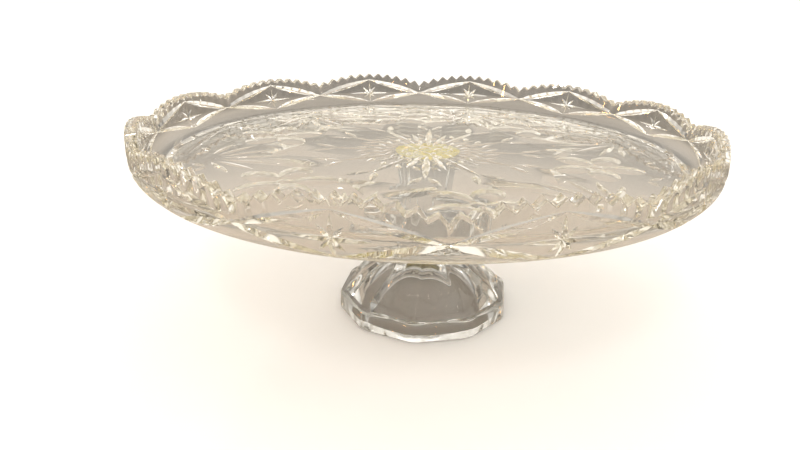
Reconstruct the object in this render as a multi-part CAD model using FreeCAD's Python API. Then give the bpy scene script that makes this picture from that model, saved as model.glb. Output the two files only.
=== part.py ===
"""Footed cake plate of clear cut glass, in millimetres, standing on the plane z = 0.

Three separate pieces: the scalloped plate, the ten-sided foot, and the thin
layer of clear bonding resin that holds the foot to the middle of the plate.
The axis of the object is the Z axis, and one valley of the rim faces -Y.
"""
import FreeCAD, Part
import math
import os

from FreeCAD import Vector

# ---------------------------------------------------------------- overall sizes
OVERALL_HEIGHT = 111.4        # table to the tips of the highest rim teeth
RIM_RADIUS = 150.0            # axis to the outside of the wall
FOOT_CORNER_RADIUS = 48.0     # axis to a corner of the foot's base

# ---------------------------------------------------------------- plate
PLATE_UNDERSIDE_Z = 84.0
FLOOR_THICKNESS = 6.0
RIM_THICKNESS = 6.0
UNDERSIDE_RADIUS = 137.0      # flat underside, up to where the heel turns up
HEEL_WIDTH = 6.1              # from there out and up to the middle of the heel
HEEL_RISE = 2.7
WALL_FOOT_RISE = 11.7         # where the wall becomes upright, over the underside
WALL_FOOT_INSET = 0.8
CAKE_RADIUS = 130.0           # flat floor inside the wall
COVE_WIDTH = 8.0              # hollow curve between the floor and the inside of the wall
COVE_RISE = 3.2

# ---------------------------------------------------------------- toothed rim
SCALLOP_COUNT = 12
TEETH_PER_SCALLOP = 11
SCALLOP_RISE = 6.5            # height of a scallop's top over the valley beside it
TOOTH_DEPTH = 3.2
TRIM_CLEARANCE = 20.0         # how far a cutting body reaches past the glass

# ---------------------------------------------------------------- foot
FOOT_SIDES = 10
FOOT_TURN = -9.0              # degrees from a rim valley to a corner of the foot
BAND_HEIGHT = 8.0             # upright band round the base
SHOULDER_INSET = 3.4          # sloping ledge on top of the band
SHOULDER_RISE = 2.05
BELL_SWEEP = (                # corner radius, as a share of the base's, and height, up the bell
    (0.86, 14.8),
    (0.71, 20.5),
    (0.51, 27.5),
    (0.38, 36.0),
)
NECK_RADIUS = 15.0
NECK_HEIGHT = 50.0
UPPER_NECK_RADIUS = 16.2
UPPER_NECK_HEIGHT = 67.0
FOOT_TOP_RADIUS = 19.0
FLUTE_DEPTH_RATIO = 0.10      # how far a panel is hollowed, over its own width
HOLLOW_RADIUS = 35.0          # domed hollow under the foot
HOLLOW_DEPTH = 26.0

# ---------------------------------------------------------------- bonding resin
BOND_THICKNESS = 0.4
BOND_RADIUS = 18.0

FLOOR_Z = PLATE_UNDERSIDE_Z + FLOOR_THICKNESS
MIDDLE_RADIUS = RIM_RADIUS - RIM_THICKNESS / 2.0
FOOT_TOP_Z = PLATE_UNDERSIDE_Z - BOND_THICKNESS
SCALLOP_ANGLE = 360.0 / SCALLOP_COUNT
FIRST_PEAK_ANGLE = -90.0 + SCALLOP_ANGLE / 2.0
UP = Vector(0, 0, 1)
AXIS_POINT = Vector(0, 0, 0)


def profile_point(radius, height):
    """A point of the half section, which lies in the XZ plane."""
    return Vector(radius, 0, height)


def line(start, end):
    """A straight edge."""
    return Part.LineSegment(start, end).toShape()


def smooth_curve(points, start_direction, end_direction):
    """One smooth edge through the given points, leaving and arriving as directed."""
    spline = Part.BSplineCurve()
    spline.interpolate(Points=points, InitialTangent=start_direction, FinalTangent=end_direction)
    return spline.toShape()


def revolve(edges):
    """A solid of revolution about the Z axis from a closed half section."""
    face = Part.Face(Part.Wire(Part.sortEdges(edges)[0]))
    return face.revolve(AXIS_POINT, UP, 360.0)


# ---------------------------------------------------------------- the plate
def outer_curve():
    """The outside of the wall, from the flat underside round the heel and up."""
    underside = PLATE_UNDERSIDE_Z
    points = [
        profile_point(UNDERSIDE_RADIUS, underside),
        profile_point(UNDERSIDE_RADIUS + HEEL_WIDTH, underside + HEEL_RISE),
        profile_point(RIM_RADIUS - WALL_FOOT_INSET, underside + WALL_FOOT_RISE),
        profile_point(RIM_RADIUS, OVERALL_HEIGHT),
    ]
    return smooth_curve(points, Vector(1, 0, 0), UP)


def inner_curve():
    """The inside of the wall, from the cake floor through the cove and up."""
    inner_radius = RIM_RADIUS - RIM_THICKNESS
    points = [
        profile_point(CAKE_RADIUS, FLOOR_Z),
        profile_point(CAKE_RADIUS + COVE_WIDTH, FLOOR_Z + COVE_RISE),
        profile_point(inner_radius - WALL_FOOT_INSET, FLOOR_Z + WALL_FOOT_RISE),
        profile_point(inner_radius, OVERALL_HEIGHT),
    ]
    return smooth_curve(points, Vector(1, 0, 0), UP)


def plate_blank():
    """The plate before its rim is cut: a flat floor with a low upright wall."""
    bottom_centre = profile_point(0, PLATE_UNDERSIDE_Z)
    floor_centre = profile_point(0, FLOOR_Z)
    outer_top = profile_point(RIM_RADIUS, OVERALL_HEIGHT)
    inner_top = profile_point(RIM_RADIUS - RIM_THICKNESS, OVERALL_HEIGHT)
    edges = [
        line(bottom_centre, profile_point(UNDERSIDE_RADIUS, PLATE_UNDERSIDE_Z)),
        outer_curve(),
        line(outer_top, inner_top),
        inner_curve(),
        line(profile_point(CAKE_RADIUS, FLOOR_Z), floor_centre),
        line(floor_centre, bottom_centre),
    ]
    return revolve(edges)


def tip_height(offset):
    """Height of the line of tooth tips, at a distance to one side of a scallop's top."""
    half_width = MIDDLE_RADIUS * math.sin(math.radians(SCALLOP_ANGLE / 2.0))
    arch = (half_width ** 2 + SCALLOP_RISE ** 2) / (2.0 * SCALLOP_RISE)
    return OVERALL_HEIGHT - arch + math.sqrt(arch ** 2 - offset ** 2)


def scallop_trimmer():
    """What is cut away over one scallop: all above a zigzag that follows its arch."""
    ceiling = OVERALL_HEIGHT + TRIM_CLEARANCE
    half_angle = SCALLOP_ANGLE / 2.0
    half_width = MIDDLE_RADIUS * math.sin(math.radians(half_angle))
    side = half_width + TRIM_CLEARANCE
    pitch = 2.0 * half_width / TEETH_PER_SCALLOP
    inner_radius = MIDDLE_RADIUS - TRIM_CLEARANCE

    zigzag = [Vector(inner_radius, -side, ceiling)]
    zigzag.append(Vector(inner_radius, -side, tip_height(half_width) - TOOTH_DEPTH))
    for tooth in range(TEETH_PER_SCALLOP):
        notch = -half_width + tooth * pitch
        tip = notch + pitch / 2.0
        zigzag.append(Vector(inner_radius, notch, tip_height(notch) - TOOTH_DEPTH))
        zigzag.append(Vector(inner_radius, tip, tip_height(tip)))
    zigzag.append(Vector(inner_radius, half_width, tip_height(half_width) - TOOTH_DEPTH))
    zigzag.append(Vector(inner_radius, side, tip_height(half_width) - TOOTH_DEPTH))
    zigzag.append(Vector(inner_radius, side, ceiling))
    prism = Part.Face(Part.makePolygon(zigzag + zigzag[:1])).extrude(Vector(2.0 * TRIM_CLEARANCE, 0, 0))

    low = OVERALL_HEIGHT - TRIM_CLEARANCE
    reach = MIDDLE_RADIUS + 2.0 * TRIM_CLEARANCE
    wedge = Part.makeCylinder(reach, ceiling - low, Vector(0, 0, low), UP, SCALLOP_ANGLE)
    wedge.rotate(AXIS_POINT, UP, -half_angle)
    return prism.common(wedge)


def make_plate():
    """The plate, with twelve toothed scallops round its rim."""
    plate = plate_blank()
    trimmer = scallop_trimmer()
    cutters = []
    for scallop in range(SCALLOP_COUNT):
        cutter = trimmer.copy()
        cutter.rotate(AXIS_POINT, UP, FIRST_PEAK_ANGLE + scallop * SCALLOP_ANGLE)
        cutters.append(cutter)
    return plate.cut(cutters)


# ---------------------------------------------------------------- the foot
def foot_sections():
    """Corner radius and height of each cross-section of the bell, from the shoulder up."""
    sections = [(FOOT_CORNER_RADIUS - SHOULDER_INSET, BAND_HEIGHT + SHOULDER_RISE)]
    for share, height in BELL_SWEEP:
        sections.append((share * FOOT_CORNER_RADIUS, height))
    sections.append((NECK_RADIUS, NECK_HEIGHT))
    sections.append((UPPER_NECK_RADIUS, UPPER_NECK_HEIGHT))
    sections.append((FOOT_TOP_RADIUS, FOOT_TOP_Z))
    return sections


def fluted_wire(corner_radius, height, hollow):
    """A ten-cornered outline whose sides are hollowed by a share of their width."""
    step = 360.0 / FOOT_SIDES
    edges = []
    for side in range(FOOT_SIDES):
        start = math.radians(-90.0 + FOOT_TURN + side * step)
        end = math.radians(-90.0 + FOOT_TURN + (side + 1) * step)
        middle = (start + end) / 2.0
        width = 2.0 * corner_radius * math.sin(math.radians(step / 2.0))
        flat_radius = corner_radius * math.cos(math.radians(step / 2.0))
        deep_radius = flat_radius - hollow * width
        first = Vector(corner_radius * math.cos(start), corner_radius * math.sin(start), height)
        last = Vector(corner_radius * math.cos(end), corner_radius * math.sin(end), height)
        if hollow > 0:
            deepest = Vector(deep_radius * math.cos(middle), deep_radius * math.sin(middle), height)
            edges.append(Part.Arc(first, deepest, last).toShape())
        else:
            edges.append(line(first, last))
    return Part.Wire(edges)


def make_foot():
    """The foot: an upright ten-sided band, and a fluted bell that narrows to a neck."""
    base = Part.Face(fluted_wire(FOOT_CORNER_RADIUS, 0.0, 0.0))
    band = base.extrude(Vector(0, 0, BAND_HEIGHT))
    shoulder = Part.makeLoft([
        fluted_wire(FOOT_CORNER_RADIUS, BAND_HEIGHT, 0.0),
        fluted_wire(FOOT_CORNER_RADIUS - SHOULDER_INSET, BAND_HEIGHT + SHOULDER_RISE, 0.0),
    ], True, True)
    sections = [fluted_wire(radius, height, FLUTE_DEPTH_RATIO) for radius, height in foot_sections()]
    bell = Part.makeLoft(sections, True, False)
    foot = band.fuse([shoulder, bell]).removeSplitter()
    above_top = Part.makeCylinder(2.0 * FOOT_TOP_RADIUS, FOOT_TOP_RADIUS, Vector(0, 0, FOOT_TOP_Z))
    sphere_radius = (HOLLOW_RADIUS ** 2 + HOLLOW_DEPTH ** 2) / (2.0 * HOLLOW_DEPTH)
    hollow = Part.makeSphere(sphere_radius, Vector(0, 0, HOLLOW_DEPTH - sphere_radius))
    return foot.cut([above_top, hollow])


# ---------------------------------------------------------------- the bond
def make_bond():
    """The thin disc of set resin between the foot's top and the plate's underside."""
    return Part.makeCylinder(BOND_RADIUS, BOND_THICKNESS, Vector(0, 0, FOOT_TOP_Z))


def export(name, shape):
    """Write one piece to its own STEP file, as one solid."""
    solid = shape.Solids[0]
    if len(shape.Solids) != 1 or not solid.isValid():
        raise RuntimeError(name + " is not one valid solid")
    solid.exportStep(os.path.join("parts", name + ".step"))
    print(name, "volume", round(solid.Volume / 1000.0, 1), "cm3")


os.makedirs("parts", exist_ok=True)
export("plate", make_plate())
export("foot", make_foot())
export("bond_disc", make_bond())
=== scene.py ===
"""Visual model of a footed cake plate of clear cut glass, built round its CAD frame, in metres."""
import math

import bmesh
import bpy
from mathutils import Matrix, Vector


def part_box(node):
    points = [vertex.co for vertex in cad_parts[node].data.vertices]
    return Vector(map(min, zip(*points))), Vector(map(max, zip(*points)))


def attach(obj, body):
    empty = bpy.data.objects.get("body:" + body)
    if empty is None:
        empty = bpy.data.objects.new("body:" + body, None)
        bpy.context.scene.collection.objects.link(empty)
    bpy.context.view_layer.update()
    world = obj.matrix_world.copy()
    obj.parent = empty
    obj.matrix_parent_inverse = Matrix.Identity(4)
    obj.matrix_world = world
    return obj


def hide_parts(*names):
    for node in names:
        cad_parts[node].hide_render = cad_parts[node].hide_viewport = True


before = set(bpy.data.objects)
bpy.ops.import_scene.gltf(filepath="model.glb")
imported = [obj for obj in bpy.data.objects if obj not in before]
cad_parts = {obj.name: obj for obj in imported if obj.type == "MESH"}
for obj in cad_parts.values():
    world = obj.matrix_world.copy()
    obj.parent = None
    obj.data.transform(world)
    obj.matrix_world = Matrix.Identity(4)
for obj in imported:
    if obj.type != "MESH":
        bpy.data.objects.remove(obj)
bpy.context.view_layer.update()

MM = 0.001
BODY = "root"

# ---------------------------------------------------------------- sizes, from the CAD frame
plate_low, plate_high = (Vector(corner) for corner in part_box("plate"))
foot_high = Vector(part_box("foot")[1])
bond_low, bond_high = (Vector(corner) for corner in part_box("bond_disc"))

UNDERSIDE_Z = plate_low.z
RIM_TOP_Z = plate_high.z
FOOT_TOP_Z = foot_high.z
BOND_RADIUS = bond_high.x
BOND_GRIP = 0.03 * MM          # the resin wets both pieces of glass this deep

# ---------------------------------------------------------------- the plate's section
RIM_RADIUS = 150.0 * MM
RIM_THICKNESS = 6.0 * MM
TOOTH_THICKNESS = 5.0 * MM      # the wall thins towards its toothed edge, on the inside
FLOOR_THICKNESS = 6.0 * MM
FLOOR_Z = UNDERSIDE_Z + FLOOR_THICKNESS
UNDERSIDE_RADIUS = 134.0 * MM   # flat underside, up to where the heel begins
CAKE_RADIUS = 130.0 * MM
WALL_FOOT_RISE = 11.7 * MM      # where the outside becomes upright, over the underside
WALL_FOOT_INSET = 0.8 * MM      # and how far in from the rim it is there
WALL_MIDDLE_INSET = 0.16 * MM   # the same at half the wall's height
INNER_FOOT_RISE = 8.0 * MM      # where the inside becomes upright, over the cake floor
INNER_FOOT_INSET = 1.1 * MM     # and how far in from the wall's inner face it is there
HEEL = Vector((9.1 * MM, 2.7 * MM))      # out and up from the flat underside to the heel's middle
COVE = Vector((8.0 * MM, 3.2 * MM))      # out and up from the flat floor to the cove's middle
SECTION_STEPS = 8               # straight pieces that one span of a section is drawn with
OUTWARD = (1.0, 0.0)            # directions in a section, as radius and height
UPWARD = (0.1, 1.0)

# ---------------------------------------------------------------- the toothed rim
SCALLOPS = 12
TEETH_PER_SCALLOP = 11
SCALLOP_RISE = 6.5 * MM
TOOTH_DEPTH = 3.2 * MM
TOOTH_SLOPE = 0.5 * MM          # the outer end of a tooth is this much lower than the inner
EDGE_BEVEL = 0.35 * MM
TOOTH_STATIONS = (0.03, 0.26, 0.475, 0.525, 0.74, 0.97)     # where a tooth's sections are taken

# ---------------------------------------------------------------- the foot
FOOT_SIDES = 10
FOOT_TURN = math.radians(-9.0)
FOOT_CORNER_RADIUS = 48.0 * MM
BAND_HEIGHT = 8.0 * MM

VALLEY_ANGLE = -math.pi / 2.0
SCALLOP_ANGLE = 2.0 * math.pi / SCALLOPS


# ---------------------------------------------------------------- mesh helpers
def new_object(name, mesh):
    """Link a mesh to the scene as an object at the origin."""
    piece = bpy.data.objects.new(name, mesh)
    bpy.context.scene.collection.objects.link(piece)
    return piece


def polar(radius, angle, height):
    """A point given by its distance from the axis, its angle and its height."""
    return Vector((radius * math.cos(angle), radius * math.sin(angle), height))


def smooth_path(points, start_direction, end_direction, steps):
    """Points along a smooth curve through 2-D points, with the directions given at its ends.

    Each span between two points is a cubic Hermite curve, drawn in the given number of steps.
    """
    points = [Vector(point) for point in points]
    tangents = [Vector(start_direction) * (points[1] - points[0]).length]
    for before, after in zip(points, points[2:]):
        tangents.append((after - before) / 2.0)
    tangents.append(Vector(end_direction) * (points[-1] - points[-2]).length)
    path = [points[0]]
    for index in range(len(points) - 1):
        for step in range(1, steps + 1):
            t = step / steps
            path.append(
                points[index] * (2 * t ** 3 - 3 * t ** 2 + 1)
                + tangents[index] * (t ** 3 - 2 * t ** 2 + t)
                + points[index + 1] * (3 * t ** 2 - 2 * t ** 3)
                + tangents[index + 1] * (t ** 3 - t ** 2)
            )
    return path


def ring_surface(columns):
    """A closed solid from equal columns of points that run round the axis, capped at both ends."""
    mesh = bmesh.new()
    grid = [[mesh.verts.new(point) for point in column] for column in columns]
    count = len(grid)
    for index, column in enumerate(grid):
        following = grid[(index + 1) % count]
        for low in range(len(column) - 1):
            mesh.faces.new((column[low], following[low], following[low + 1], column[low + 1]))
    mesh.faces.new([column[0] for column in reversed(grid)])
    mesh.faces.new([column[-1] for column in grid])
    bmesh.ops.recalc_face_normals(mesh, faces=mesh.faces)
    return mesh


def finish_mesh(mesh, name):
    """Turn a bmesh into a mesh datablock."""
    data = bpy.data.meshes.new(name)
    mesh.to_mesh(data)
    mesh.free()
    return data


def shade(piece, degrees):
    """Smooth shading, with every edge sharper than an angle left crisp."""
    piece.data.shade_smooth()
    piece.data.set_sharp_from_angle(angle=math.radians(degrees))


# ---------------------------------------------------------------- the plate's blank
def outer_section():
    """Radius and height along the outside of the wall, from the underside up to the wall's foot."""
    wall_foot = (RIM_RADIUS - WALL_FOOT_INSET, UNDERSIDE_Z + WALL_FOOT_RISE)
    points = [(UNDERSIDE_RADIUS, UNDERSIDE_Z), (UNDERSIDE_RADIUS + HEEL.x, UNDERSIDE_Z + HEEL.y), wall_foot]
    return smooth_path(points, OUTWARD, UPWARD, SECTION_STEPS)


def inner_section():
    """Radius and height along the inside of the wall, from the cake floor up to the wall's foot."""
    wall_foot = (RIM_RADIUS - RIM_THICKNESS - INNER_FOOT_INSET, FLOOR_Z + INNER_FOOT_RISE)
    points = [(CAKE_RADIUS, FLOOR_Z), (CAKE_RADIUS + COVE.x, FLOOR_Z + COVE.y), wall_foot]
    return smooth_path(points, OUTWARD, UPWARD, SECTION_STEPS)


OUTER_SECTION = outer_section()
INNER_SECTION = inner_section()


def tip_line(angle):
    """Height of the line of tooth tips at an angle: one low arch over each scallop."""
    from_peak = ((angle - VALLEY_ANGLE) % SCALLOP_ANGLE) / SCALLOP_ANGLE - 0.5
    return RIM_TOP_Z - SCALLOP_RISE * (2.0 * from_peak) ** 2


def plate_column(angle, tooth_part):
    """One section of the plate: part 0 and 1 are the notches beside a tooth, 0.5 its tip."""
    depth = TOOTH_DEPTH * abs(2.0 * tooth_part - 1.0)
    top = tip_line(angle) - depth
    inner_radius = RIM_RADIUS - TOOTH_THICKNESS
    column = [(point.x, point.y) for point in OUTER_SECTION]
    outer_top = top - TOOTH_SLOPE
    column.append((RIM_RADIUS - WALL_MIDDLE_INSET, (OUTER_SECTION[-1].y + outer_top) / 2.0))
    column.append((RIM_RADIUS, outer_top - EDGE_BEVEL))
    column.append((RIM_RADIUS - EDGE_BEVEL, outer_top))
    column.append((inner_radius + EDGE_BEVEL, top))
    column.append((inner_radius, top - EDGE_BEVEL))
    column.extend((point.x, point.y) for point in reversed(INNER_SECTION))
    return [polar(radius, angle, height) for radius, height in column]


def plate_blank():
    """The uncut plate with its toothed rim."""
    columns = []
    pitch = SCALLOP_ANGLE / TEETH_PER_SCALLOP
    for tooth in range(SCALLOPS * TEETH_PER_SCALLOP):
        for part in TOOTH_STATIONS:
            columns.append(plate_column(VALLEY_ANGLE + (tooth + part) * pitch, part))
    return new_object("plate_glass", finish_mesh(ring_surface(columns), "plate_glass"))


# ---------------------------------------------------------------- cutting wheels
RAISE = 1.2 * MM                # how far a cutter stands proud of the glass


def groove(mesh, path, depth, half_angle):
    """Add one V-shaped cut to a bmesh of cutters.

    path is a list of (point, outward normal) along the glass; the cut is deepest in its middle
    and comes out of the glass in a point at each end, as a wheel leaves it.
    """
    spread = math.tan(math.radians(half_angle))
    last = len(path) - 1
    overrun = math.sqrt(1.0 + RAISE / depth)
    rings = []
    for index, (point, normal) in enumerate(path):
        before = path[max(index - 1, 0)][0]
        after = path[min(index + 1, last)][0]
        side = (after - before).cross(normal).normalized()
        position = (2.0 * index / last - 1.0) * overrun
        sink = depth * (1.0 - position ** 2)
        top = point + normal * RAISE
        reach = (sink + RAISE) * spread
        if index in (0, last):
            rings.append([mesh.verts.new(top)])
        else:
            rings.append([
                mesh.verts.new(point - normal * sink),
                mesh.verts.new(top + side * reach),
                mesh.verts.new(top - side * reach),
            ])
    for ring, following in zip(rings, rings[1:]):
        for corner in range(3):
            next_corner = (corner + 1) % 3
            quad = []
            for vert in (
                ring[corner % len(ring)], ring[next_corner % len(ring)],
                following[next_corner % len(following)], following[corner % len(following)],
            ):
                if vert not in quad:
                    quad.append(vert)
            mesh.faces.new(quad)


def stretched(function, depth, stations):
    """Sample a path over -1..1, run on past its ends far enough for the cutter to leave the glass."""
    overrun = math.sqrt(1.0 + RAISE / depth)
    return [function((2.0 * index / (stations - 1) - 1.0) * overrun) for index in range(stations)]


def carve(body, mesh):
    """Cut away a bmesh of cutters that don't touch each other."""
    bmesh.ops.recalc_face_normals(mesh, faces=mesh.faces)
    cutter = new_object("cutter", finish_mesh(mesh, "cutter"))
    boolean = body.modifiers.new("cut", "BOOLEAN")
    boolean.operation = "DIFFERENCE"
    boolean.solver = "MANIFOLD"
    boolean.material_mode = "INDEX"
    boolean.object = cutter
    depsgraph = bpy.context.evaluated_depsgraph_get()
    carved = bpy.data.meshes.new_from_object(body.evaluated_get(depsgraph))
    body.modifiers.clear()
    spent = [body.data, cutter.data]
    body.data = carved
    bpy.data.objects.remove(cutter)
    for data in spent:
        bpy.data.meshes.remove(data)


# ---------------------------------------------------------------- cuts round the wall
DIAMOND_TOP_Z = UNDERSIDE_Z + 22.0 * MM
DIAMOND_SIDE_Z = UNDERSIDE_Z + 11.5 * MM
DIAMOND_BOTTOM_Z = UNDERSIDE_Z + 3.0 * MM
UPPER_LEAF_DEPTH = 1.6 * MM
LOWER_LEAF_DEPTH = 2.5 * MM
LEAF_HALF_ANGLE = 45.0
LEAF_OVERLAP = 0.04             # a leaf runs this far past the crossing, as a share of its length
LEAF_STATIONS = 25
STAR_Z = UNDERSIDE_Z + 11.5 * MM
STAR_DEPTH = 1.2 * MM
STAR_HALF_ANGLE = 45.0
STAR_STATIONS = 13
STAR_RAYS = (                   # direction from level, half length
    (90.0, 8.6 * MM),
    (0.0, 15.0 * MM),
    (45.0, 6.5 * MM),
    (-45.0, 6.5 * MM),
)


def wall_point(angle, height):
    """A point on the outside of the wall, with its outward normal."""
    section = OUTER_SECTION + [Vector((RIM_RADIUS, RIM_TOP_Z))]
    for low, high in zip(section, section[1:]):
        if height <= high.y or high is section[-1]:
            break
    share = (height - low.y) / (high.y - low.y)
    radius = low.x + (high.x - low.x) * share
    along = (high - low).normalized()
    return polar(radius, angle, height), polar(along.y, angle, -along.x)


def diamond_leaves(hand, end_z, depth):
    """One long leaf-shaped cut per scallop, from a crossing between scallops to a diamond's top or foot."""
    mesh = bmesh.new()
    for scallop in range(SCALLOPS):
        valley = VALLEY_ANGLE + scallop * SCALLOP_ANGLE

        def along(position):
            share = (position + 1.0) / 2.0 * (1.0 + LEAF_OVERLAP) - LEAF_OVERLAP
            height = DIAMOND_SIDE_Z + (end_z - DIAMOND_SIDE_Z) * share
            return wall_point(valley + hand * share * SCALLOP_ANGLE / 2.0, height)

        groove(mesh, stretched(along, depth, LEAF_STATIONS), depth, LEAF_HALF_ANGLE)
    return mesh


def star_cuts(direction, half_length):
    """One cut through the middle of every diamond's star."""
    mesh = bmesh.new()
    slope = math.radians(direction)
    for scallop in range(SCALLOPS):
        peak = VALLEY_ANGLE + (scallop + 0.5) * SCALLOP_ANGLE

        def along(share):
            reach = share * half_length
            angle = peak + reach * math.cos(slope) / RIM_RADIUS
            return wall_point(angle, STAR_Z + reach * math.sin(slope))

        groove(mesh, stretched(along, STAR_DEPTH, STAR_STATIONS), STAR_DEPTH, STAR_HALF_ANGLE)
    return mesh


# ---------------------------------------------------------------- cuts under the floor
FLOOR_TURN = math.radians(-4.0)
FLOOR_STATIONS = 11             # sections of one cut
BOWL_SEGMENTS = 48              # round and down the form that makes a hollow
BOWL_RINGS = 32
STAR_COUNT = 12                 # long rays of the star in the middle
STAR_START = 9.0 * MM
RAY_HALF_ANGLE = 50.0
LONG_RAY = (54.0 * MM, 1.7 * MM)    # how far from the axis it reaches, and its depth
SHORT_RAY = (40.0 * MM, 1.4 * MM)
TIP_LEAF_RADIUS = 57.0 * MM     # a pair of leaves at the tip of each long ray
TIP_LEAF_SPREAD = math.radians(4.6)
TIP_LEAF_LEAN = math.radians(26.0)
TIP_LEAF_LENGTH = 7.5 * MM      # half of it, as for every length of a cut below
LEAF_DEPTH = 1.3 * MM
BROAD_CUT = 57.0                # half angle of the wheel for a broad cut
SMALL_CUT = 55.0
SPARK_LENGTH = 4.6 * MM
SPARK_DEPTH = 1.1 * MM
SPARK_RINGS = (                 # how many, distance from the axis, lean in degrees, share of a step turned
    (6, 6.0 * MM, 25.0, 0.0),
    (6, 6.5 * MM, -40.0, 0.5),
    (12, 12.5 * MM, 60.0, 0.25),
    (12, 13.5 * MM, -15.0, 0.75),
    (24, 21.0 * MM, 38.0, 0.25),
    (24, 27.0 * MM, -42.0, 0.75),
    (24, 36.0 * MM, 30.0, 0.5),
)
FLOWERS = 6
FLOWER_RADIUS = 90.0 * MM
FLOWER_OFFSET = 0.25            # of the step from flower to flower, off the pattern's zero
PETALS = 5
PETAL_PLACE = 13.5 * MM         # from the middle of the flower to the middle of a petal
PETAL_LENGTH = 11.0 * MM
PETAL_WIDTH = 7.6 * MM
PETAL_DEPTH = 1.9 * MM
HEART_RADIUS = 4.0 * MM
HEART_DEPTH = 1.7 * MM
SPRAY_RADIUS = 116.0 * MM       # the root of a fan of leaves
SPRAY_OFFSET = 0.75
SPRAY_LEAVES = 7
SPRAY_STEP = 22.0               # degrees from one leaf of the fan to the next
SPRAY_GAP = 8.0 * MM            # from the root to the near end of a leaf
SPRAY_LENGTH = 16.0 * MM        # of the middle leaf
SPRAY_SHORTENING = 1.6 * MM     # how much shorter each next leaf is
SIDE_LEAF_RADIUS = 75.0 * MM
SIDE_LEAF_SPREAD = math.radians(19.0)
SIDE_LEAF_LEAN = math.radians(75.0)
SIDE_LEAF_LENGTH = 14.0 * MM
SIDE_LEAF_DEPTH = 1.5 * MM
SIDE_LEAF_CUT = 74.0
EDGE_LEAF_RADIUS = 119.0 * MM
EDGE_LEAF_SPREAD = math.radians(1.9)
EDGE_LEAF_LEAN = math.radians(48.0)
EDGE_LEAF_LENGTH = 4.4 * MM
EDGE_LEAF_DEPTH = 1.2 * MM


def floor_cut(mesh, centre, direction, half_length, depth, half_angle):
    """One V cut in the flat underside, given by its middle and its direction in plan."""
    heading = Vector((math.cos(direction), math.sin(direction), 0.0))
    middle = Vector((centre.x, centre.y, UNDERSIDE_Z))

    def along(share):
        return middle + heading * (share * half_length), Vector((0, 0, -1))

    groove(mesh, stretched(along, depth, FLOOR_STATIONS), depth, half_angle)


def hollow(mesh, centre, direction, half_length, half_width, depth):
    """One shallow rounded hollow in the underside: the low cap of an ellipsoid."""
    steepness = depth / half_width
    radius = half_width * ((1.0 + steepness ** 2) / (2.0 * steepness))
    form = bmesh.ops.create_uvsphere(mesh, u_segments=BOWL_SEGMENTS, v_segments=BOWL_RINGS, radius=radius)
    stretch = Matrix.Diagonal((half_length / half_width, 1.0, 1.0, 1.0))
    sink = radius - depth
    place = Matrix.Translation((centre.x, centre.y, UNDERSIDE_Z - sink)) @ Matrix.Rotation(direction, 4, "Z")
    bmesh.ops.transform(mesh, matrix=place @ stretch, verts=form["verts"])


def around(count, offset=0.0):
    """Evenly spaced angles for the pattern under the floor, turned by a share of their step."""
    return [VALLEY_ANGLE + FLOOR_TURN + (index + offset) * 2.0 * math.pi / count for index in range(count)]


def centre_star(offset, reach, depth):
    """The rays of the star in the middle of the floor."""
    mesh = bmesh.new()
    for angle in around(STAR_COUNT, offset):
        middle = polar((STAR_START + reach) / 2.0, angle, 0)
        floor_cut(mesh, middle, angle, (reach - STAR_START) / 2.0, depth, RAY_HALF_ANGLE)
    return mesh


def centre_sparks(count, reach, turn, offset):
    """A ring of short leaning cuts close to the middle, which break up the view of the resin below."""
    mesh = bmesh.new()
    for angle in around(count, offset):
        heading = angle + math.radians(turn)
        floor_cut(mesh, polar(reach, angle, 0), heading, SPARK_LENGTH, SPARK_DEPTH, SMALL_CUT)
    return mesh


def leaf_pairs(angles, radius, spread, lean, half_length, depth, half_angle):
    """A pair of leaning leaves at every angle, one on each side of it."""
    mesh = bmesh.new()
    for angle in angles:
        for hand in (-1.0, 1.0):
            centre = polar(radius, angle + hand * spread, 0)
            floor_cut(mesh, centre, angle + hand * lean, half_length, depth, half_angle)
    return mesh


def tip_leaves():
    """A pair of small leaves at the tip of every long ray."""
    return leaf_pairs(
        around(STAR_COUNT), TIP_LEAF_RADIUS, TIP_LEAF_SPREAD, TIP_LEAF_LEAN,
        TIP_LEAF_LENGTH, LEAF_DEPTH, BROAD_CUT,
    )


def flower_petals(index):
    """One petal of every flower."""
    mesh = bmesh.new()
    for angle in around(FLOWERS, FLOWER_OFFSET):
        middle = polar(FLOWER_RADIUS, angle, 0)
        turn = angle + index * 2.0 * math.pi / PETALS
        hollow(mesh, middle + polar(PETAL_PLACE, turn, 0), turn, PETAL_LENGTH, PETAL_WIDTH, PETAL_DEPTH)
    return mesh


def flower_hearts():
    """The round middle of every flower."""
    mesh = bmesh.new()
    for angle in around(FLOWERS, FLOWER_OFFSET):
        hollow(mesh, polar(FLOWER_RADIUS, angle, 0), angle, HEART_RADIUS, HEART_RADIUS, HEART_DEPTH)
    return mesh


def spray_leaves():
    """A fan of long narrow leaves between one flower and the next."""
    mesh = bmesh.new()
    middle_leaf = SPRAY_LEAVES // 2
    for angle in around(FLOWERS, SPRAY_OFFSET):
        root = polar(SPRAY_RADIUS, angle, 0)
        for leaf in range(SPRAY_LEAVES):
            spread = math.radians(SPRAY_STEP * (leaf - middle_leaf))
            half_length = SPRAY_LENGTH - abs(leaf - middle_leaf) * SPRAY_SHORTENING
            heading = angle + math.pi + spread
            centre = root + polar(half_length + SPRAY_GAP, heading, 0)
            floor_cut(mesh, centre, heading, half_length, LEAF_DEPTH, BROAD_CUT)
    return mesh


def side_leaves():
    """A broad leaf on each side of every flower."""
    return leaf_pairs(
        around(FLOWERS, FLOWER_OFFSET), SIDE_LEAF_RADIUS, SIDE_LEAF_SPREAD, SIDE_LEAF_LEAN,
        SIDE_LEAF_LENGTH, SIDE_LEAF_DEPTH, SIDE_LEAF_CUT,
    )


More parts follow.
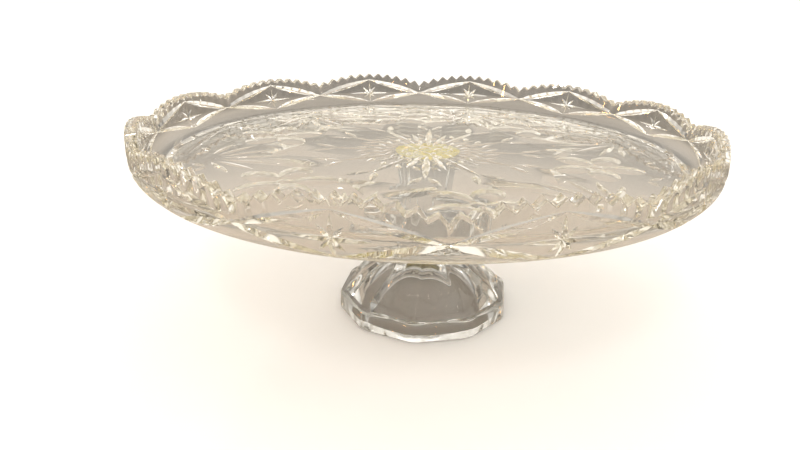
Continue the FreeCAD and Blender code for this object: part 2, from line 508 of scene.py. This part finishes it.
def edge_leaves():
    """Pairs of small leaves in a ring near the edge of the floor."""
    return leaf_pairs(
        around(2 * STAR_COUNT, 0.5), EDGE_LEAF_RADIUS, EDGE_LEAF_SPREAD, EDGE_LEAF_LEAN,
        EDGE_LEAF_LENGTH, EDGE_LEAF_DEPTH, SMALL_CUT,
    )


PLATE_CRISP_ANGLE = 18.0        # degrees between faces above which an edge stays crisp


def make_plate(finish):
    """The plate with all its cuts."""
    plate = plate_blank()
    plate.data.materials.append(finish)
    for hand in (1.0, -1.0):
        carve(plate, diamond_leaves(hand, DIAMOND_TOP_Z, UPPER_LEAF_DEPTH))
        carve(plate, diamond_leaves(hand, DIAMOND_BOTTOM_Z, LOWER_LEAF_DEPTH))
    for direction, half_length in STAR_RAYS:
        carve(plate, star_cuts(direction, half_length))
    carve(plate, centre_star(0.0, *LONG_RAY))
    carve(plate, centre_star(0.5, *SHORT_RAY))
    for ring in SPARK_RINGS:
        carve(plate, centre_sparks(*ring))
    carve(plate, tip_leaves())
    for index in range(PETALS):
        carve(plate, flower_petals(index))
    carve(plate, flower_hearts())
    carve(plate, spray_leaves())
    carve(plate, side_leaves())
    carve(plate, edge_leaves())
    shade(plate, PLATE_CRISP_ANGLE)
    return plate


# ---------------------------------------------------------------- the foot
BAND_BEVEL = 0.6 * MM           # at the band's bottom edge
SHOULDER = Vector((1.7 * MM, 1.7 * MM))     # inward and upward size of the band's rounded top edge
SHOULDER_STEPS = 6
LEDGE = Vector((1.7 * MM, 0.35 * MM))       # inward and upward size of the ledge inside it
BELL_SWEEP = (                  # corner radius, as a share of the base's, and height, up the bell
    (0.86, 14.8 * MM),
    (0.71, 20.5 * MM),
    (0.51, 27.5 * MM),
    (0.38, 36.0 * MM),
)
NECK_RADIUS = 15.0 * MM
NECK_HEIGHT = 50.0 * MM
UPPER_NECK_RADIUS = 1.08 * NECK_RADIUS
UPPER_NECK_HEIGHT = 0.8 * FOOT_TOP_Z
FOOT_TOP_RADIUS = 18.8 * MM
BELL_START = (-0.5, 0.87)       # directions of the bell's outline at its foot and at its top
BELL_END = (0.2, 1.0)
BELL_STEPS = 6
BELL_INSET = 0.1 * MM
FLUTE_HOLLOW = 0.10             # how far a panel is hollowed, over its own width
FLUTE_FADE_ROWS = 5.0           # rows over which the flutes begin
FOOT_CRISP_ANGLE = 24.0         # degrees, as for the plate
COLUMNS_PER_SIDE = 18
CORNER_SPAN = 0.09              # share of a side over which its corner is rounded off
CORNER_CUT = 0.7 * MM
HOLLOW_RADIUS = 35.0 * MM
HOLLOW_DEPTH = 26.0 * MM
HOLLOW_STEPS = 14


def foot_rows():
    """Corner radius, height and flute depth up the outside of the foot."""
    corner = FOOT_CORNER_RADIUS
    band_edge = BAND_HEIGHT - BAND_BEVEL
    rows = [(corner - BAND_BEVEL, 0.0, 0.0), (corner, BAND_BEVEL, 0.0), (corner, band_edge, 0.0)]
    for step in range(1, SHOULDER_STEPS + 1):
        turn = step / SHOULDER_STEPS * math.pi / 2.0
        rows.append((
            corner - SHOULDER.x * (1.0 - math.cos(turn)),
            band_edge + (SHOULDER.y + BAND_BEVEL) * math.sin(turn),
            0.0,
        ))
    outline = [(corner - SHOULDER.x - LEDGE.x, BAND_HEIGHT + SHOULDER.y + LEDGE.y)]
    outline.extend((share * corner, height) for share, height in BELL_SWEEP)
    outline.append((NECK_RADIUS, NECK_HEIGHT))
    outline.append((UPPER_NECK_RADIUS, UPPER_NECK_HEIGHT))
    outline.append((FOOT_TOP_RADIUS, FOOT_TOP_Z))
    for index, point in enumerate(smooth_path(outline, BELL_START, BELL_END, BELL_STEPS)):
        fade = min(index / FLUTE_FADE_ROWS, 1.0)
        rows.append((point.x - BELL_INSET, point.y, FLUTE_HOLLOW * fade))
    return rows


def side_radius(corner_radius, share, flute):
    """Distance from the axis along one side: share runs from corner to corner."""
    half = math.pi / FOOT_SIDES
    across = 2.0 * share - 1.0
    straight = corner_radius * math.cos(half) / math.cos(across * half)
    width = 2.0 * corner_radius * math.sin(half)
    near_corner = max(0.0, 1.0 - min(share, 1.0 - share) / CORNER_SPAN)
    softening = CORNER_CUT * corner_radius / FOOT_CORNER_RADIUS * near_corner ** 2
    return straight - flute * width * (1.0 - across ** 2) - softening


def make_foot(finish):
    """The foot: an upright ten-sided band, a fluted bell and a neck, over a domed hollow."""
    rows = foot_rows()
    columns = []
    step = 2.0 * math.pi / FOOT_SIDES
    sphere_radius = (HOLLOW_RADIUS ** 2 + HOLLOW_DEPTH ** 2) / (2.0 * HOLLOW_DEPTH)
    for side in range(FOOT_SIDES):
        for part in range(COLUMNS_PER_SIDE):
            share = (1.0 - math.cos(math.pi * part / COLUMNS_PER_SIDE)) / 2.0
            angle = VALLEY_ANGLE + FOOT_TURN + (side + share) * step
            column = []
            for ring in range(1, HOLLOW_STEPS + 1):
                radius = HOLLOW_RADIUS * math.sin(math.pi / 2.0 * ring / HOLLOW_STEPS)
                drop = sphere_radius - math.sqrt(sphere_radius ** 2 - radius ** 2)
                column.append(polar(radius, angle, HOLLOW_DEPTH - drop))
            for corner_radius, height, flute in rows:
                column.append(polar(side_radius(corner_radius, share, flute), angle, height))
            columns.append(column)
    foot = new_object("foot_glass", finish_mesh(ring_surface(columns), "foot_glass"))
    foot.data.materials.append(finish)
    shade(foot, FOOT_CRISP_ANGLE)
    return foot


# ---------------------------------------------------------------- the bond
BOND_COLUMNS = 96
BOND_INSET = 0.35 * MM          # the edge's mean place inside the full disc
BOND_BULGE = 0.1 * MM           # how far the edge swells between the two pieces of glass
BOND_CRISP_ANGLE = 60.0
BOND_WAVES = (                  # waves round the edge: height, how many, phase
    (0.2 * MM, 3.0, 0.0),
    (0.12 * MM, 7.0, 1.0),
)


def make_bond(finish):
    """The thin disc of yellowed resin, with a slightly uneven edge."""
    columns = []
    low, high = bond_low.z - BOND_GRIP, bond_high.z + BOND_GRIP
    for index in range(BOND_COLUMNS):
        angle = 2.0 * math.pi * index / BOND_COLUMNS
        radius = BOND_RADIUS - BOND_INSET
        for height, count, phase in BOND_WAVES:
            radius += height * math.sin(count * angle + phase)
        columns.append([
            polar(radius - BOND_BULGE, angle, low),
            polar(radius, angle, (low + high) / 2.0),
            polar(radius - BOND_BULGE, angle, high),
        ])
    bond = new_object("bond_resin", finish_mesh(ring_surface(columns), "bond_resin"))
    bond.data.materials.append(finish)
    shade(bond, BOND_CRISP_ANGLE)
    return bond


# ---------------------------------------------------------------- materials
# each glass: tint of its surface, index of refraction, colour in its depth, density of that colour
PLATE_GLASS = ((0.955, 0.945, 0.93), 1.53, (0.82, 0.775, 0.64), 8.0)
FOOT_GLASS = ((0.80, 0.805, 0.805), 1.52, (0.72, 0.71, 0.66), 9.0)
SMUDGE = 0.04                   # roughness where a smear is thickest
SMEAR_SCALE = 38.0
SMEAR_RANGE = (0.5, 0.8)        # values of the noise where a smear begins and where it is thickest
RIPPLE = 0.02 * MM              # height of the slow waves that the mould leaves
RIPPLE_SCALE = 55.0
CLOUD_SCALE = 160.0
RESIN_TONES = (                 # value of the noise, and the resin's colour there
    (0.35, (1.0, 0.86, 0.24)),
    (0.65, (1.0, 0.97, 0.70)),
)


def colour_ramp(tree, stops, span):
    """A colour ramp through stops, each given as a place along the span and its colour."""
    ramp = tree.nodes.new("ShaderNodeValToRGB")
    elements = ramp.color_ramp.elements
    elements[0].position, elements[0].color = stops[0][0] / span, (*stops[0][1], 1.0)
    elements[1].position, elements[1].color = stops[-1][0] / span, (*stops[-1][1], 1.0)
    for place, colour in stops[1:-1]:
        elements.new(place / span).color = (*colour, 1.0)
    return ramp


def new_material(name):
    """An empty node material, with its tree and its output."""
    material = bpy.data.materials.new(name)
    material.use_nodes = True
    tree = material.node_tree
    tree.nodes.clear()
    return material, tree, tree.nodes.new("ShaderNodeOutputMaterial")


def glass(name, tint, index, depth_colour, depth_density):
    """Polished glass with faint smears of wear and a slow ripple.

    tint is its colour at the surface; depth_colour is what light turns to inside it, the sooner the
    higher depth_density is.
    """
    material, tree, output = new_material(name)
    links = tree.links
    shader = tree.nodes.new("ShaderNodeBsdfPrincipled")
    shader.inputs["Base Color"].default_value = (*tint, 1.0)
    shader.inputs["Transmission Weight"].default_value = 1.0
    shader.inputs["IOR"].default_value = index
    links.new(shader.outputs["BSDF"], output.inputs["Surface"])
    place = tree.nodes.new("ShaderNodeTexCoord")
    smear = tree.nodes.new("ShaderNodeTexNoise")
    smear.inputs["Scale"].default_value = SMEAR_SCALE
    smear.inputs["Detail"].default_value = 4.0
    links.new(place.outputs["Object"], smear.inputs["Vector"])
    rough = tree.nodes.new("ShaderNodeMapRange")
    rough.inputs["From Min"].default_value, rough.inputs["From Max"].default_value = SMEAR_RANGE
    rough.inputs["To Min"].default_value = 0.0
    rough.inputs["To Max"].default_value = SMUDGE
    links.new(smear.outputs["Fac"], rough.inputs["Value"])
    links.new(rough.outputs["Result"], shader.inputs["Roughness"])
    wave = tree.nodes.new("ShaderNodeTexNoise")
    wave.inputs["Scale"].default_value = RIPPLE_SCALE
    wave.inputs["Detail"].default_value = 1.0
    links.new(place.outputs["Object"], wave.inputs["Vector"])
    bump = tree.nodes.new("ShaderNodeBump")
    bump.inputs["Strength"].default_value = 1.0
    bump.inputs["Distance"].default_value = RIPPLE
    links.new(wave.outputs["Fac"], bump.inputs["Height"])
    links.new(bump.outputs["Normal"], shader.inputs["Normal"])
    inside = tree.nodes.new("ShaderNodeVolumeAbsorption")
    inside.inputs["Color"].default_value = (*depth_colour, 1.0)
    inside.inputs["Density"].default_value = depth_density
    links.new(inside.outputs["Volume"], output.inputs["Volume"])
    return material


def resin(name):
    """Bonding resin gone yellow, with cloudy patches."""
    material, tree, output = new_material(name)
    links = tree.links
    shader = tree.nodes.new("ShaderNodeBsdfPrincipled")
    shader.inputs["Transmission Weight"].default_value = 0.1
    shader.inputs["Roughness"].default_value = 0.15
    shader.inputs["IOR"].default_value = 1.5
    links.new(shader.outputs["BSDF"], output.inputs["Surface"])
    place = tree.nodes.new("ShaderNodeTexCoord")
    cloud = tree.nodes.new("ShaderNodeTexNoise")
    cloud.inputs["Scale"].default_value = CLOUD_SCALE
    cloud.inputs["Detail"].default_value = 3.0
    links.new(place.outputs["Object"], cloud.inputs["Vector"])
    tone = colour_ramp(tree, RESIN_TONES, 1.0)
    links.new(cloud.outputs["Fac"], tone.inputs["Fac"])
    links.new(tone.outputs["Color"], shader.inputs["Base Color"])
    return material


# ---------------------------------------------------------------- stage, light, camera
ROOM_BEHIND = (                 # sine of the elevation, and the light from there behind the plate
    (0.0, (0.10, 0.095, 0.088)),
    (0.06, (0.34, 0.32, 0.29)),
    (0.12, (0.62, 0.585, 0.53)),
    (0.27, (0.78, 0.735, 0.66)),
    (0.42, (1.30, 1.22, 1.10)),
    (1.0, (1.35, 1.29, 1.19)),
)
ROOM_IN_FRONT = (               # the same on the side of the eye, where the window is
    (0.0, (0.60, 0.57, 0.53)),
    (0.10, (1.35, 1.31, 1.23)),
    (0.50, (1.60, 1.55, 1.47)),
    (1.0, (1.35, 1.29, 1.19)),
)
TABLE_AND_PAINTED_LIGHT_POOL = (                       # distance from the middle in metres, and the colour there: a beige table with a painted pool of light, brightest under the plate and darker further out
    (0.0, (0.57, 0.512, 0.44)),
    (0.12, (0.52, 0.466, 0.40)),
    (0.35, (0.225, 0.207, 0.184)),
    (0.60, (0.13, 0.123, 0.113)),
    (1.5, (0.095, 0.092, 0.087)),
)
FRONT_TO_BACK = (-0.4, 0.2)     # Y of a direction where the front room ends, and where the other begins
STUDIO_COLOUR = (1.0, 0.99, 0.975)
FLOOR_COLOUR = (0.82, 0.815, 0.80)
FLOOR_ROUGHNESS = 0.7
FLOOR_REACH = 80.0
FLOOR_SIDES = 96
FLOOR_GAP = 0.3 * MM            # keeps the floor's face clear of the foot's base
SKY_POWER = 0.3
SKY_SPREAD = math.radians(50.0)
SKY_TILT = math.radians(30.0)
LIT_POINT = (0.0, 0.0, 0.09)
LAMPS = (                       # name, place, width, power in watts, colour
    ("key", (-0.7, 1.1, 0.9), 0.12, 1.6, (1.0, 0.98, 0.95)),
    ("back_right", (0.9, 1.1, 0.6), 0.10, 1.2, (1.0, 0.98, 0.95)),
    ("lamp_right", (1.1, -0.5, 0.9), 0.10, 1.0, (1.0, 0.93, 0.82)),
    ("window", (-0.25, -1.2, 1.3), 0.25, 4.0, (1.0, 0.99, 0.97)),
    ("lamp_warm", (-1.0, -0.9, 0.5), 0.08, 1.2, (1.0, 0.52, 0.18)),
    ("lamp_warm_side", (-1.2, 0.35, 0.55), 0.10, 1.6, (1.0, 0.50, 0.16)),
    ("lamp_warm_front", (0.35, -1.3, 0.6), 0.08, 1.2, (1.0, 0.52, 0.18)),
)


def plain_outside(tree, room, plain, output):
    """Show one shader to the eye, and another in whatever the glass gathers by bending and reflecting."""
    path = tree.nodes.new("ShaderNodeLightPath")
    mix = tree.nodes.new("ShaderNodeMixShader")
    tree.links.new(path.outputs["Is Camera Ray"], mix.inputs["Fac"])
    tree.links.new(room, mix.inputs[1])
    tree.links.new(plain, mix.inputs[2])
    tree.links.new(mix.outputs["Shader"], output.inputs["Surface"])


def make_floor():
    """A wide pale floor, which the glass gathers as a beige table with a painted pool of light: brightest in
    the middle, darker further out.
    """
    mesh = bmesh.new()
    bmesh.ops.create_circle(mesh, cap_ends=True, segments=FLOOR_SIDES, radius=FLOOR_REACH)
    floor = new_object("studio_floor", finish_mesh(mesh, "studio_floor"))
    floor.location.z = -FLOOR_GAP
    material, tree, output = new_material("studio_floor")
    pale = tree.nodes.new("ShaderNodeBsdfPrincipled")
    pale.inputs["Base Color"].default_value = (*FLOOR_COLOUR, 1.0)
    pale.inputs["Roughness"].default_value = FLOOR_ROUGHNESS
    place = tree.nodes.new("ShaderNodeTexCoord")
    length = tree.nodes.new("ShaderNodeVectorMath")
    length.operation = "LENGTH"
    tree.links.new(place.outputs["Object"], length.inputs[0])
    span = TABLE_AND_PAINTED_LIGHT_POOL[-1][0]
    share = tree.nodes.new("ShaderNodeMath")
    share.operation = "DIVIDE"
    share.inputs[1].default_value = span
    tree.links.new(length.outputs["Value"], share.inputs[0])
    # painted light: the colour the glass sees on the floor is brightest under the plate and darkens with
    # distance, a painted pool of light on a beige table
    ramp = colour_ramp(tree, TABLE_AND_PAINTED_LIGHT_POOL, span)
    tree.links.new(share.outputs["Value"], ramp.inputs["Fac"])
    table_and_painted_light = tree.nodes.new("ShaderNodeBsdfDiffuse")
    tree.links.new(ramp.outputs["Color"], table_and_painted_light.inputs["Color"])
    plain_outside(tree, table_and_painted_light.outputs["BSDF"], pale.outputs["BSDF"], output)
    floor.data.materials.append(material)


def colour_socket(sockets, name):
    """The colour socket of a name on a Mix node, which also has a number and a vector of that name."""
    return next(socket for socket in sockets if socket.name == name and socket.type == "RGBA")


def make_world():
    """A pale studio, which the glass gathers as a room that is dim behind and bright in front and above."""
    world = bpy.data.worlds.new("studio")
    bpy.context.scene.world = world
    world.use_nodes = True
    tree = world.node_tree
    tree.nodes.clear()
    place = tree.nodes.new("ShaderNodeTexCoord")
    axes = tree.nodes.new("ShaderNodeSeparateXYZ")
    tree.links.new(place.outputs["Generated"], axes.inputs["Vector"])
    side = tree.nodes.new("ShaderNodeMapRange")
    side.inputs["From Min"].default_value, side.inputs["From Max"].default_value = FRONT_TO_BACK
    side.interpolation_type = "SMOOTHSTEP"
    tree.links.new(axes.outputs["Y"], side.inputs["Value"])
    walls = tree.nodes.new("ShaderNodeMix")
    walls.data_type = "RGBA"
    tree.links.new(side.outputs["Result"], walls.inputs["Factor"])
    for stops, socket in ((ROOM_IN_FRONT, "A"), (ROOM_BEHIND, "B")):
        ramp = colour_ramp(tree, stops, 1.0)
        tree.links.new(axes.outputs["Z"], ramp.inputs["Fac"])
        tree.links.new(ramp.outputs["Color"], colour_socket(walls.inputs, socket))
    room = tree.nodes.new("ShaderNodeBackground")
    tree.links.new(colour_socket(walls.outputs, "Result"), room.inputs["Color"])
    plain = tree.nodes.new("ShaderNodeBackground")
    plain.inputs["Color"].default_value = (*STUDIO_COLOUR, 1.0)
    output = tree.nodes.new("ShaderNodeOutputWorld")
    plain_outside(tree, room.outputs["Background"], plain.outputs["Background"], output)


def area_light(name, position, size, power, colour):
    """A square softbox at a place, facing the plate."""
    light = bpy.data.lights.new(name, "AREA")
    light.size = size
    light.energy = power
    light.color = colour
    lamp = bpy.data.objects.new(name, light)
    lamp.location = position
    lamp.rotation_euler = (Vector(LIT_POINT) - Vector(position)).to_track_quat("-Z", "Y").to_euler()
    bpy.context.scene.collection.objects.link(lamp)


def make_lights():
    """Broad soft light from above, and small white and warm lamps for sparkle."""
    sun = bpy.data.lights.new("sky", "SUN")
    sun.energy = SKY_POWER
    sun.angle = SKY_SPREAD
    sky = bpy.data.objects.new("sky", sun)
    sky.rotation_euler = (SKY_TILT, 0.0, 0.0)
    bpy.context.scene.collection.objects.link(sky)
    for lamp in LAMPS:
        area_light(*lamp)


CAMERA_TURN = math.radians(-3.0)
CAMERA_PITCH = math.radians(12.19)
CAMERA_ROLL = math.radians(1.59)
CAMERA_DISTANCE = 354.2 * MM
AIM_Z = 103.2 * MM
LENS = 29.3
SENSOR_WIDTH = 36.0
SHIFT = (-0.0354, -0.1252)
NEAR_CLIP = 0.01


def make_camera():
    """A camera a little above the rim, close to the plate."""
    camera = bpy.data.objects.new("camera", bpy.data.cameras.new("camera"))
    bpy.context.scene.collection.objects.link(camera)
    camera.data.lens = LENS
    camera.data.sensor_width = SENSOR_WIDTH
    camera.data.shift_x, camera.data.shift_y = SHIFT
    camera.data.clip_start = NEAR_CLIP
    back = Vector((0.0, -math.cos(CAMERA_PITCH), math.sin(CAMERA_PITCH)))
    right = Vector((1.0, 0.0, 0.0))
    above = back.cross(right)
    rolled_right = right * math.cos(CAMERA_ROLL) + above * math.sin(CAMERA_ROLL)
    rolled_up = above * math.cos(CAMERA_ROLL) - right * math.sin(CAMERA_ROLL)
    axes = Matrix((rolled_right, rolled_up, back)).transposed().to_4x4()
    place = Matrix.Translation((0, 0, AIM_Z)) @ Matrix.Rotation(CAMERA_TURN, 4, "Z")
    camera.matrix_world = place @ Matrix.Translation(back * CAMERA_DISTANCE) @ axes
    bpy.context.scene.camera = camera


# ---------------------------------------------------------------- put together
GLASS_BOUNCES = 32
GLOSSY_BOUNCES = 24


def dress(piece, node):
    """Give a piece its body, and hide the CAD node that it stands for."""
    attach(piece, BODY)
    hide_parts(node)


make_camera()
make_floor()
make_world()
make_lights()
dress(make_plate(glass("plate_glass", *PLATE_GLASS)), "plate")
dress(make_foot(glass("foot_glass", *FOOT_GLASS)), "foot")
dress(make_bond(resin("bond_resin")), "bond_disc")
scene = bpy.context.scene
scene.view_settings.view_transform = "Standard"
scene.cycles.max_bounces = GLASS_BOUNCES
scene.cycles.glossy_bounces = GLOSSY_BOUNCES
scene.cycles.transmission_bounces = GLASS_BOUNCES
